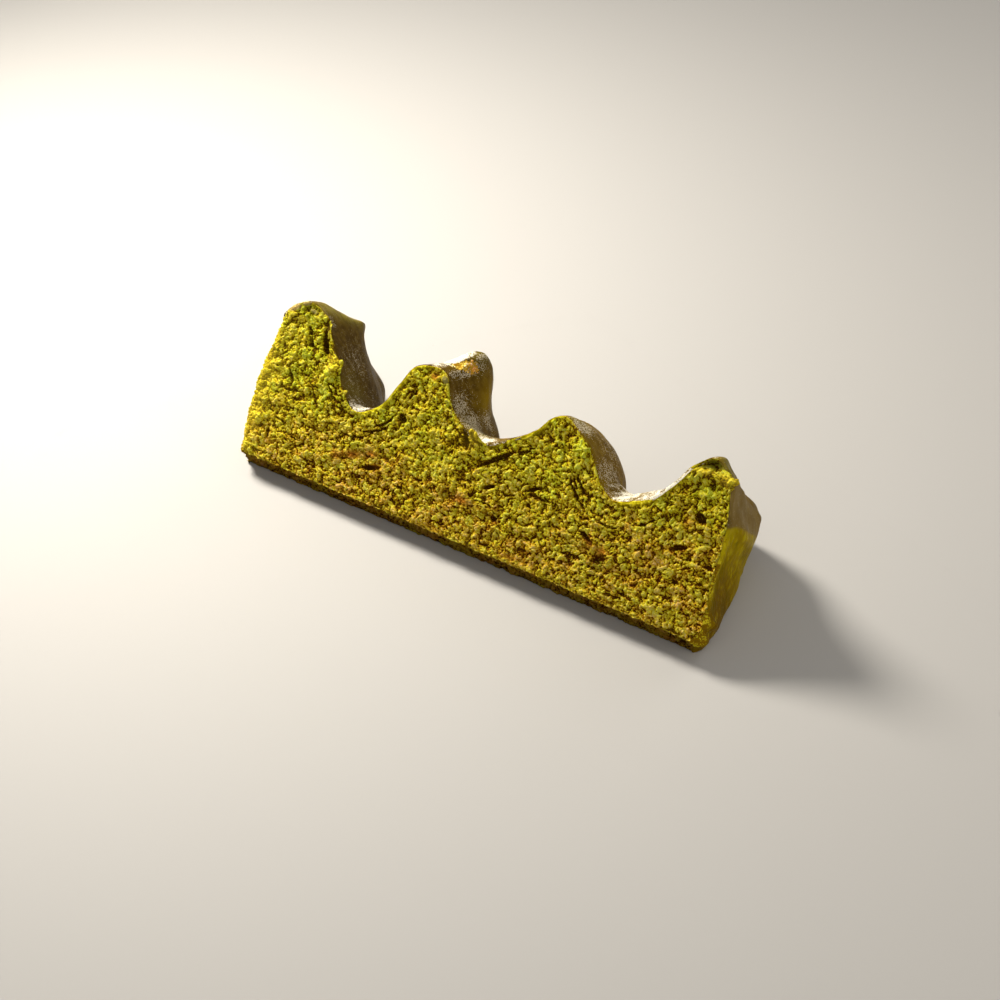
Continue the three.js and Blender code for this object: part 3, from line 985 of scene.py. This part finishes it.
def end_torn(place):
    """Where crumb shows through the glaze of the glazed end."""
    foot = bell(place.level - TORN_FOOT["level"], TORN_FOOT["rise"])
    foot *= bell(place.behind - TORN_FOOT["behind"], TORN_FOOT["reach"])
    below_film = ramp01(END_FILM["height"] - place.level, 0, TORN_FADE)
    wander = ramp01(cloud(place.points, TORN_WANDER["size"], TORN_WANDER["seed"]), *TORN_WANDER["step"])
    return np.maximum(foot, below_film * wander * bell(place.behind, TORN_EDGE_REACH))


def end_film(place):
    """Where the greyer film covers the glazed end."""
    above = place.level - END_FILM["height"] - END_FILM["climb"] * place.turn
    waver = END_FILM_WAVER["reach"] * cloud(place.points, END_FILM_WAVER["size"], END_FILM_WAVER["seed"])
    return ramp01(above + waver, *END_FILM["step"])


def coat_sugar_and_sheen(place, flatness, from_front, facing_cut_end):
    """Where sugar lies on the skin, partly with painted sheen and highlight: in its flat places, in patches
    and along the rim.
    """
    lists = (CREST_SUGAR_AND_SHEEN, VALLEY_SUGAR_AND_SHEEN, RIM_SUGAR_AND_HIGHLIGHT)
    crest, floor, rim = (listed(stops, place.skin_station) for stops in lists)
    sugar = ramp01(flatness, *SUGAR_AND_SHEEN_FLATNESS) * mix(crest, floor, ramp01(place.height, *VALLEY_HEIGHTS))
    sugar = np.maximum(sugar, patched(SUGAR_AND_HIGHLIGHT_PATCHES, place))
    return np.maximum(sugar, rim * bell(from_front, RIM_SUGAR_AND_HIGHLIGHT_REACH) * facing_cut_end)


def coat_masks(place, flatness, from_front, facing_cut_end):
    """Where the glaze is sugary (partly painted sheen), speckled, bare, olive or filmed over, and
    brightened by painted light, each from 0 to 1.
    """
    on_end = place.rise < 1
    sugar = coat_sugar_and_sheen(place, flatness, from_front, facing_cut_end)
    crater, lengthwise, across = crater_distance(place)
    upper_left = ramp01(across, *CRATER_SUGAR_AND_HIGHLIGHT["across"]) * ramp01(lengthwise, *CRATER_SUGAR_AND_HIGHLIGHT["along"])
    around = bell(crater - CRATER_SUGAR_AND_HIGHLIGHT["distance"], CRATER_SUGAR_AND_HIGHLIGHT["reach"])
    sugar = np.maximum(sugar, around * upper_left) * ramp01(crater, *CRATER_CLEAR)
    film = end_film(place)
    film_left = 1 - END_FILM_BACK["loss"] * ramp01(place.turn, *END_FILM_BACK["turns"])
    edge = bell(place.behind, END_EDGE_REACH) * ramp01(place.level, *END_EDGE_LEVELS)
    return {
        "sugar": np.where(on_end, END_FILM_SUGAR * film, sugar),
        "speckle": np.where(on_end, 0, patched(SPECKLED_PATCHES, place)),
        "bare": np.where(on_end, 0, ramp01(crater, *CRATER_EDGE)),
        "olive": np.where(on_end, 1 - film, patched(OLIVE_PATCHES, place)),
        "film": np.where(on_end, film * film_left, 0),
        "orange": ramp01(lengthwise, *CRATER_ORANGE),
        # Painted light on the glaze towards the glazed end
        "warm_painted_light": ramp01(place.skin_station, *PAINTED_GLAZE_LIGHT_STATIONS),
        "low": np.where(on_end, ramp01(place.level, *END_BROWN), SKIN_BROWN),
        "sage": np.where(on_end, 0, patched(SAGE_PATCHES, place)),
        "edge": on_end * edge,
        "torn": on_end * end_torn(place),
        "foot": np.where(on_end, 0, ramp01(place.level, *SKIN_FOOT)),
    }


def rim_relief(place, from_front, on_end):
    """The coat's own height with its rounded rim, and 0 on the rim to 1 beyond it."""
    above_foot = np.where(on_end, place.level, np.inf)
    rim = np.minimum.reduce([place.from_cut_end, from_front, place.before, above_foot])
    rim_share = np.clip(rim / RIM_RADIUS, 0, 1)
    return -COAT_IN + (COAT_IN + COAT_OUT) * np.sqrt(1 - (1 - rim_share) ** 2), rim_share


def end_moss(place):
    """Relief -1..1 of the crumb under the glazed end, drawn out along one slant."""
    down, across = place.behind + place.level, (place.behind - place.level) * END_MOSS_STRETCH
    slant = np.stack([down, across], 1) * math.sqrt(0.5)
    slant = np.concatenate([place.points[:, :1], slant], 1)
    moss, _ = grains(slant, *END_MOSS)
    uneven = cloud(slant, END_MOSS_CLOUD["size"], END_MOSS_CLOUD["seed"])
    return moss - 0.5 + END_MOSS_CLOUD["share"] * uneven


def coat_surface(place, quads, from_front):
    """Points and masks of the glaze coat."""
    normals = softened(face_normals_at_points(place.points, quads), quads, COAT_ROUNDS)
    on_end = place.rise < 1
    radial = place.points * [0, 1, 1] / place.radius[:, None]
    flatness = np.clip((normals * radial).sum(1), 0, 1)
    relief, rim_share = rim_relief(place, from_front, on_end)
    masks = coat_masks(place, flatness, from_front, ramp01(normals[:, 0], *FACING_CUT_END))
    drawn_out = np.stack([place.skin_station, place.behind, place.level], 1)
    streaks = cloud(drawn_out * STREAKS["stretch"], STREAKS["size"], STREAKS["seed"])
    crystals, _ = grains(place.points, *CRYSTALS)
    crumbs, _ = grains(place.points, *BARE_CRUMBS)
    uneven = sum(rise * cloud(place.points, size, seed) for rise, size, seed in COAT_WAVES)
    moss = end_moss(place) * on_end
    uneven += mix(*END_MOSS_RISE, bell(place.behind, END_MOSS_REACH)) * moss * masks["olive"]
    crust = np.maximum(masks["sugar"], SPECKLE_CRUST * masks["speckle"])
    uneven += STREAKS["rise"] * streaks * (1 - crust) * ~on_end + CRYSTAL_RISE * crystals * crust
    uneven += masks["bare"] * (BARE_RISE * crumbs - CRATER["depth"])
    uneven += masks["torn"] * (TORN_RISE * crumbs - TORN_DEPTH)
    for swell in END_SWELLS.values():
        uneven += swell.push * weight_of(swell, place.level, place.turn) * on_end
    relief += uneven * rim_share
    points = place.points + normals * relief[:, None]
    points[:, 2] = np.maximum(points[:, 2], 0)
    masks["moss"] = np.clip(0.5 + END_MOSS_CONTRAST * moss, 0, 1)
    return points, {**masks, "streak": 0.5 + 0.5 * streaks * ~on_end, "crumbs": crumbs}


class Shader:
    """A node material being put together. Sizes of textures are in millimetres."""

    def __init__(self, name):
        self.material = bpy.data.materials.new(name)
        self.material.use_nodes = True
        self.tree = self.material.node_tree
        self.surface = self.tree.nodes["Principled BSDF"]
        self.coordinates = self.add("ShaderNodeTexCoord").outputs["Object"]

    def add(self, kind, inputs=None, **settings):
        """A new node of this kind, with values or links for its inputs."""
        node = self.tree.nodes.new(kind)
        for name, value in settings.items():
            setattr(node, name, value)
        for name, value in (inputs or {}).items():
            self.feed(node.inputs[name], value)
        return node

    def feed(self, socket, value):
        if isinstance(value, bpy.types.NodeSocket):
            self.tree.links.new(value, socket)
        elif isinstance(value, tuple) and len(value) == 3 and socket.type == "RGBA":
            socket.default_value = (*value, 1)
        else:
            socket.default_value = value

    def mask(self, name):
        return self.add("ShaderNodeAttribute", attribute_name=name).outputs["Fac"]

    def noise(self, size, detail=2.0, roughness=0.5):
        scale = 1 / (size * MM)
        inputs = {"Vector": self.coordinates, "Scale": scale, "Detail": detail, "Roughness": roughness}
        return self.add("ShaderNodeTexNoise", inputs).outputs["Fac"]

    def cells(self, size):
        inputs = {"Vector": self.coordinates, "Scale": 1 / (size * MM)}
        return self.add("ShaderNodeTexVoronoi", inputs).outputs["Distance"]

    def between(self, value, low, high, to_low=0.0, to_high=1.0):
        """The value's range from low to high, spread smoothly over to_low to to_high."""
        inputs = {"Value": value, "From Min": low, "From Max": high, "To Min": to_low, "To Max": to_high}
        return self.add("ShaderNodeMapRange", inputs, interpolation_type="SMOOTHSTEP").outputs["Result"]

    def math(self, operation, first, second):
        return self.add("ShaderNodeMath", {0: first, 1: second}, operation=operation).outputs["Value"]

    def plus(self, first, second):
        return self.math("ADD", first, second)

    def minus(self, first, second):
        return self.math("SUBTRACT", first, second)

    def times(self, first, second):
        return self.math("MULTIPLY", first, second)

    def blend(self, share, first, second, kind="MIX"):
        inputs = {"Factor": share, "A": first, "B": second}
        return self.add("ShaderNodeMix", inputs, data_type="RGBA", blend_type=kind).outputs["Result"]

    def tint(self, share, colour, tint, kind="MULTIPLY"):
        """The colour, multiplied by the tint or darkened to it by this share."""
        return self.blend(share, colour, self.blend(1.0, colour, tint, kind))

    def ramp(self, value, stops):
        node = self.add("ShaderNodeValToRGB", {"Fac": value})
        elements = node.color_ramp.elements
        while len(elements) < len(stops):
            elements.new(1)
        for element, (position, colour) in zip(elements, stops):
            element.position = position
            element.color = (*colour, 1)
        return node.outputs["Color"]

    def bump(self, height, distance, strength=1.0, below=None):
        inputs = {"Strength": strength, "Distance": distance * MM, "Height": height}
        if below is not None:
            inputs["Normal"] = below
        return self.add("ShaderNodeBump", inputs).outputs["Normal"]

    def set(self, **values):
        for name, value in values.items():
            self.feed(self.surface.inputs[name.replace("_", " ")], value)


# Colours, linear
# Crumb colour by depth: the low stops are browner crumb, darkened further as painted shade
CRUMB_FRESH = [
    (0.01, (0.078, 0.033, 0.0003)),
    (0.11, (0.230, 0.128, 0.0008)),
    (0.28, (0.500, 0.374, 0.0035)),
    (0.60, (0.638, 0.548, 0.022)),
    (0.95, (0.612, 0.546, 0.086)),
]
CRUMB_OLD = [
    (0.01, (0.075, 0.025, 0.0003)),
    (0.11, (0.215, 0.100, 0.0008)),
    (0.28, (0.465, 0.328, 0.0035)),
    (0.60, (0.650, 0.574, 0.021)),
    (0.95, (0.627, 0.584, 0.088)),
]
CRUMB_HUES = [
    (0.05, (1.00, 0.72, 1.60)),
    (0.35, (1.00, 0.92, 1.10)),
    (0.60, (1.00, 1.00, 1.00)),
    (1.00, (0.87, 1.05, 0.85)),
]
# Tint and colour of the painted light on the crumb
CRUMB_PAINTED_LIGHT_TINT = (1.30, 1.18, 0.80)
CRUMB_PAINTED_SUNLIGHT = (0.740, 0.610, 0.045)
# Tint of the painted shade on the cut end
CRUMB_CUT_END_SHADE = (0.72, 0.70, 1.30)
# Tint of the inner wall's darker crust with painted shade
CRUMB_UNDER_CRUST_AND_SHADE = (0.30, 0.23, 0.20)
# Colour of the outer layer, lighter partly as painted light
CRUMB_RIND_AND_LIGHT = (0.660, 0.570, 0.008)
CRUMB_FILM = (0.240, 0.205, 0.050)
CRUMB_CREAM = (0.700, 0.500, 0.150)
CRUMB_BAKED = (0.200, 0.085, 0.012)
CRUMB_ORANGE = (0.500, 0.190, 0.015)
CRUMB_LEAF = (0.140, 0.140, 0.008)
GLAZE_DARK = (0.072, 0.041, 0.004)
GLAZE_LIGHT = (0.130, 0.080, 0.010)
# Tint of the painted light on the glaze
GLAZE_PAINTED_LIGHT = (1.80, 1.80, 1.20)
GLAZE_FILM = (0.198, 0.134, 0.038)
GLAZE_FILM_DARK = (0.160, 0.104, 0.026)
GLAZE_OLIVE = (0.350, 0.255, 0.001)
GLAZE_OLIVE_DARK = (0.270, 0.180, 0.001)
GLAZE_OLIVE_LOW = (0.155, 0.085, 0.001)
GLAZE_OLIVE_LIGHT = (0.460, 0.370, 0.003)
GLAZE_MOSS_DARK = (0.110, 0.080, 0.002)
GLAZE_MOSS = (0.160, 0.150, 0.003)
GLAZE_EDGE = (0.520, 0.420, 0.006)
GLAZE_SAGE = (0.200, 0.166, 0.026)
# Torn crumb from its high grains to its low ones, which are darker partly as painted shade
TORN_LIGHT = (0.520, 0.430, 0.015)
TORN_SHADE = (0.200, 0.110, 0.002)
# Sugar white, also used as painted sheen and highlight
GLAZE_SUGAR_AND_SHEEN = (0.860, 0.810, 0.650)
GLAZE_FROST = (0.560, 0.490, 0.340)
GLAZE_DOT = (0.520, 0.430, 0.280)
BARE_YELLOW = (0.900, 0.740, 0.130)
BARE_ORANGE = (0.780, 0.340, 0.070)
# Low crumb of the crater, darker partly as painted shade
BARE_SHADE = (0.480, 0.270, 0.020)
FLOOR_COLOUR = (0.43, 0.42, 0.405)

# Ranges that hold most and nearly all of a noise's values
MOST = (0.35, 0.65)
NEARLY_ALL = (0.3, 0.7)


def crumb_colour(look, relief, grit, kernel):
    """The crumb's colour by its depth, darker in hollows partly as painted shade, and by its place, without
    its browned and other marks.
    """
    fresh = look.mask("fresh")
    depth = look.plus(relief, look.between(grit, *NEARLY_ALL, -0.30, 0.28))
    # Painted shade at the borders between grains
    depth = look.minus(depth, look.between(kernel, 0.35, 0.75, 0.0, 0.30))
    colour = look.blend(fresh, look.ramp(depth, CRUMB_OLD), look.ramp(depth, CRUMB_FRESH))
    patches = look.noise(6.0, detail=2.0)
    hue = look.plus(look.times(look.mask("tone"), 0.45), look.between(patches, *MOST, 0.0, 0.25))
    hue = look.plus(hue, look.between(fresh, 0.0, 1.0, -0.04, 0.46))
    return look.blend(1.0, colour, look.ramp(hue, CRUMB_HUES), "MULTIPLY")


def crumb_material():
    look = Shader("crumb")
    relief = look.mask("relief")
    grit = look.noise(0.4, detail=4.0, roughness=0.7)
    kernel = look.cells(0.5)
    colour = crumb_colour(look, relief, grit, kernel)
    baked = look.times(look.mask("bake"), look.between(grit, *MOST, 0.35, 1.0))
    colour = look.tint(baked, colour, CRUMB_BAKED, "DARKEN")
    rust = look.times(look.mask("spot"), look.between(look.plus(relief, grit), 0.5, 1.3, 0.35, 1.0))
    colour = look.blend(rust, colour, CRUMB_ORANGE)
    colour = look.tint(look.mask("green"), colour, CRUMB_LEAF, "DARKEN")
    # Painted light: lighter, yellower crumb
    warm_painted_light = look.blend(0.45, look.blend(1.0, colour, CRUMB_PAINTED_LIGHT_TINT, "MULTIPLY"), CRUMB_PAINTED_SUNLIGHT)
    colour = look.blend(look.mask("painted_light"), colour, warm_painted_light)
    # Painted shade on the cut end
    colour = look.tint(look.mask("side"), colour, CRUMB_CUT_END_SHADE)
    # Darker crust with painted shade on the underside
    colour = look.tint(look.mask("under"), colour, CRUMB_UNDER_CRUST_AND_SHADE)
    # Outer layer, lighter partly as painted light
    colour = look.blend(look.times(look.mask("rind"), 0.8), colour, CRUMB_RIND_AND_LIGHT)
    film = look.blend(look.mask("cream"), CRUMB_FILM, CRUMB_CREAM)
    colour = look.blend(look.between(look.mask("film"), 0.25, 0.7), colour, film)
    pitted = look.bump(look.between(kernel, 0.75, 0.0), 0.16)
    look.set(
        Base_Color=colour,
        Roughness=look.between(grit, *NEARLY_ALL, 0.6, 0.85),
        Normal=look.bump(grit, 0.33, below=pitted),
        Subsurface_Weight=0.05,
        Subsurface_Radius=(1.0, 0.7, 0.15),
        Subsurface_Scale=0.4 * MM,
        Specular_IOR_Level=0.03,
    )
    return look.material


def moss_colour(look, mottle, broad):
    """Olive glaze with the crumb that shows through it."""
    moss = look.blend(look.between(broad, *MOST), GLAZE_OLIVE, GLAZE_OLIVE_DARK)
    moss = look.blend(look.between(mottle, 0.50, 0.70, 0.0, 0.4), moss, GLAZE_MOSS)
    moss = look.blend(look.mask("low"), moss, GLAZE_OLIVE_LOW)
    crumb = look.mask("moss")
    moss = look.blend(look.between(crumb, 0.50, 0.85, 0.0, 0.6), moss, GLAZE_OLIVE_LIGHT)
    moss = look.blend(look.between(crumb, 0.45, 0.05, 0.0, 0.5), moss, GLAZE_MOSS_DARK)
    bright = look.times(look.mask("edge"), look.between(broad, 0.35, 0.6, 0.4, 0.9))
    return look.blend(bright, moss, GLAZE_EDGE)


def sugar_dots(look, olive):
    """Small dots of sugar, more of them near the foot and few on olive glaze."""
    dots = look.between(look.cells(0.9), 0.20, 0.08)
    dots = look.times(dots, look.between(look.noise(2.4, detail=1.0), 0.36, 0.60, 0.25, 1.0))
    dots = look.times(dots, look.between(look.mask("foot"), 0.0, 1.0, 0.45, 0.9))
    return look.times(dots, look.between(olive, 0.3, 0.9, 1.0, 0.1))


def sugar_frost(look, mottle):
    """Speckles of sugar that close up where there are more."""
    frost = look.plus(look.mask("speckle"), look.between(mottle, *MOST, -0.10, 0.10))
    frost = look.minus(look.between(frost, -0.10, 0.80, 0.0, 0.58), look.cells(0.38))
    return look.between(frost, -0.04, 0.12)


def uncovered_colour(look, colour, grit):
    """The colour with the crumb of the places that the glaze has left: darker where its grains lie low,
    partly painted shade, and in the crater white on the highest, sugar and painted highlight.
    """
    toast = look.blend(look.mask("orange"), BARE_YELLOW, BARE_ORANGE)
    rough = look.plus(look.mask("crumbs"), look.between(look.noise(0.5), *NEARLY_ALL, -0.5, 0.5))
    toast = look.blend(look.between(rough, *MOST), BARE_SHADE, toast)
    toast = look.blend(look.between(rough, 0.80, 1.00), toast, GLAZE_SUGAR_AND_SHEEN)
    torn = look.blend(look.between(rough, 0.30, 0.80), TORN_SHADE, TORN_LIGHT)
    ragged = look.plus(look.mask("torn"), look.between(grit, *NEARLY_ALL, -0.2, 0.2))
    colour = look.blend(look.between(ragged, 0.30, 0.60), colour, torn)
    uncovered = look.times(look.mask("bare"), look.between(look.noise(0.7), *NEARLY_ALL, 0.4, 2.4))
    return look.blend(look.between(uncovered, 0.45, 0.70), colour, toast)


def glaze_material():
    look = Shader("glaze")
    sugar, olive, film = look.mask("sugar"), look.mask("olive"), look.mask("film")
    mottle, broad, grit = look.noise(1.6, detail=3.0), look.noise(4.0), look.noise(0.3)
    colour = look.blend(look.between(mottle, *MOST), GLAZE_DARK, GLAZE_LIGHT)
    colour = look.blend(look.between(look.mask("streak"), 0.3, 0.8, 0.0, 0.45), colour, GLAZE_DARK)
    # Painted light: the glaze is brightened towards the glazed end
    colour = look.tint(look.mask("warm_painted_light"), colour, GLAZE_PAINTED_LIGHT)
    greyer = look.blend(look.between(broad, *MOST), GLAZE_FILM_DARK, GLAZE_FILM)
    colour = look.blend(look.times(film, 0.95), colour, greyer)
    colour = look.blend(olive, colour, moss_colour(look, mottle, broad))
    sage = look.times(look.mask("sage"), look.between(mottle, 0.30, 0.60, 0.55, 1.0))
    colour = look.blend(sage, colour, GLAZE_SAGE)
    dots, frost = sugar_dots(look, olive), sugar_frost(look, mottle)
    colour = look.blend(frost, look.blend(dots, colour, GLAZE_DOT), GLAZE_FROST)
    crust = look.plus(sugar, look.between(grit, *NEARLY_ALL, -0.26, 0.26))
    crust = look.plus(crust, look.between(mottle, *MOST, -0.22, 0.12))
    # Sugar, partly painted sheen and highlight
    colour = look.blend(look.between(crust, 0.40, 0.95), colour, GLAZE_SUGAR_AND_SHEEN)
    skin = look.bump(grit, 0.10, 0.9, look.bump(look.plus(dots, frost), 0.14, 0.8))
    calm = look.between(look.plus(film, olive), 0.0, 1.0, 1.0, 0.25)
    look.set(
        Base_Color=uncovered_colour(look, colour, grit),
        Roughness=look.between(look.plus(sugar, mottle), 0.3, 1.3, 0.30, 0.62),
        Normal=look.bump(look.times(mottle, calm), 0.25, 0.5, skin),
        Subsurface_Weight=0.08,
        Subsurface_Radius=(1.0, 0.8, 0.3),
        Subsurface_Scale=0.6 * MM,
        Specular_IOR_Level=0.01,
    )
    return look.material


def floor_material():
    look = Shader("floor")
    look.set(Base_Color=FLOOR_COLOUR, Roughness=0.7)
    return look.material


def dress(piece, material):
    piece.data.materials.append(material)
    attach(piece, "root")
    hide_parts("cake")


# Camera: it looks at AIM from DISTANCE, this far round and above the horizon
CAMERA_AZIMUTH = 32.02
CAMERA_ELEVATION = 41.0
CAMERA_DISTANCE = 463.9
CAMERA_AIM = (17.34, -28.93, 32.47)
CAMERA_LENS = 68.8
CAMERA_CLIP = (0.01, 50)
SENSOR = 36


def hold(name, data, location, axis, direction):
    """An object for a camera or a lamp whose local axis points in this direction."""
    holder = bpy.data.objects.new(name, data)
    holder.location = location
    holder.rotation_mode = "QUATERNION"
    holder.rotation_quaternion = direction.to_track_quat(axis, "Y")
    bpy.context.scene.collection.objects.link(holder)
    return holder


def camera():
    azimuth, elevation = math.radians(CAMERA_AZIMUTH), math.radians(CAMERA_ELEVATION)
    level = math.cos(elevation)
    back = Vector((math.sin(azimuth) * level, -math.cos(azimuth) * level, math.sin(elevation)))
    location = (Vector(CAMERA_AIM) + back * CAMERA_DISTANCE) * MM
    data = bpy.data.cameras.new("camera")
    data.lens = CAMERA_LENS
    data.sensor_width = SENSOR
    data.clip_start, data.clip_end = CAMERA_CLIP
    bpy.context.scene.camera = hold("camera", data, location, "-Z", -back)


# Lamps: direction from the cake, distance and size in metres, watts, spread in degrees and colour
Lamp = namedtuple("Lamp", "towards distance size power spread colour")
LAMPS = {
    "key": Lamp((-0.70, 0.14, 0.70), 0.42, 0.13, 2.15, 140, (1.0, 0.94, 0.84)),
    "fill": Lamp((0.25, -0.85, 0.70), 1.5, 1.6, 6.08, 180, (1.0, 0.96, 0.90)),
    "right": Lamp((0.95, 0.15, 0.45), 1.0, 0.7, 2.2, 180, (1.0, 0.92, 0.80)),
    "back": Lamp((0.25, 0.85, 0.55), 1.4, 0.8, 3.6, 180, (1.0, 0.96, 0.90)),
}
SKY_COLOUR = (1.0, 0.985, 0.96)
SKY = 0.20
FLOOR_SIZE = 8


def light(name, lamp):
    data = bpy.data.lights.new(name, "AREA")
    data.shape = "DISK"
    data.size = lamp.size
    data.energy = lamp.power
    data.spread = math.radians(lamp.spread)
    data.color = lamp.colour
    direction = Vector(lamp.towards).normalized()
    hold(name, data, direction * lamp.distance, "Z", direction)


def surroundings():
    world = bpy.data.worlds.new("studio")
    world.use_nodes = True
    background = world.node_tree.nodes["Background"]
    background.inputs["Color"].default_value = (*SKY_COLOUR, 1)
    background.inputs["Strength"].default_value = SKY
    bpy.context.scene.world = world
    bpy.ops.mesh.primitive_plane_add(size=FLOOR_SIZE)
    floor = bpy.context.object
    floor.name = "floor"
    floor.data.materials.append(floor_material())
    bpy.context.scene.view_settings.view_transform = "Standard"


offset = cake_offset()
crumb_look, glaze_look = crumb_material(), glaze_material()
for piece in [*crumb_pieces(offset), base_piece(offset)]:
    dress(piece, crumb_look)
dress(coat_piece(offset), glaze_look)
camera()
for name, lamp in LAMPS.items():
    light(name, lamp)
surroundings()
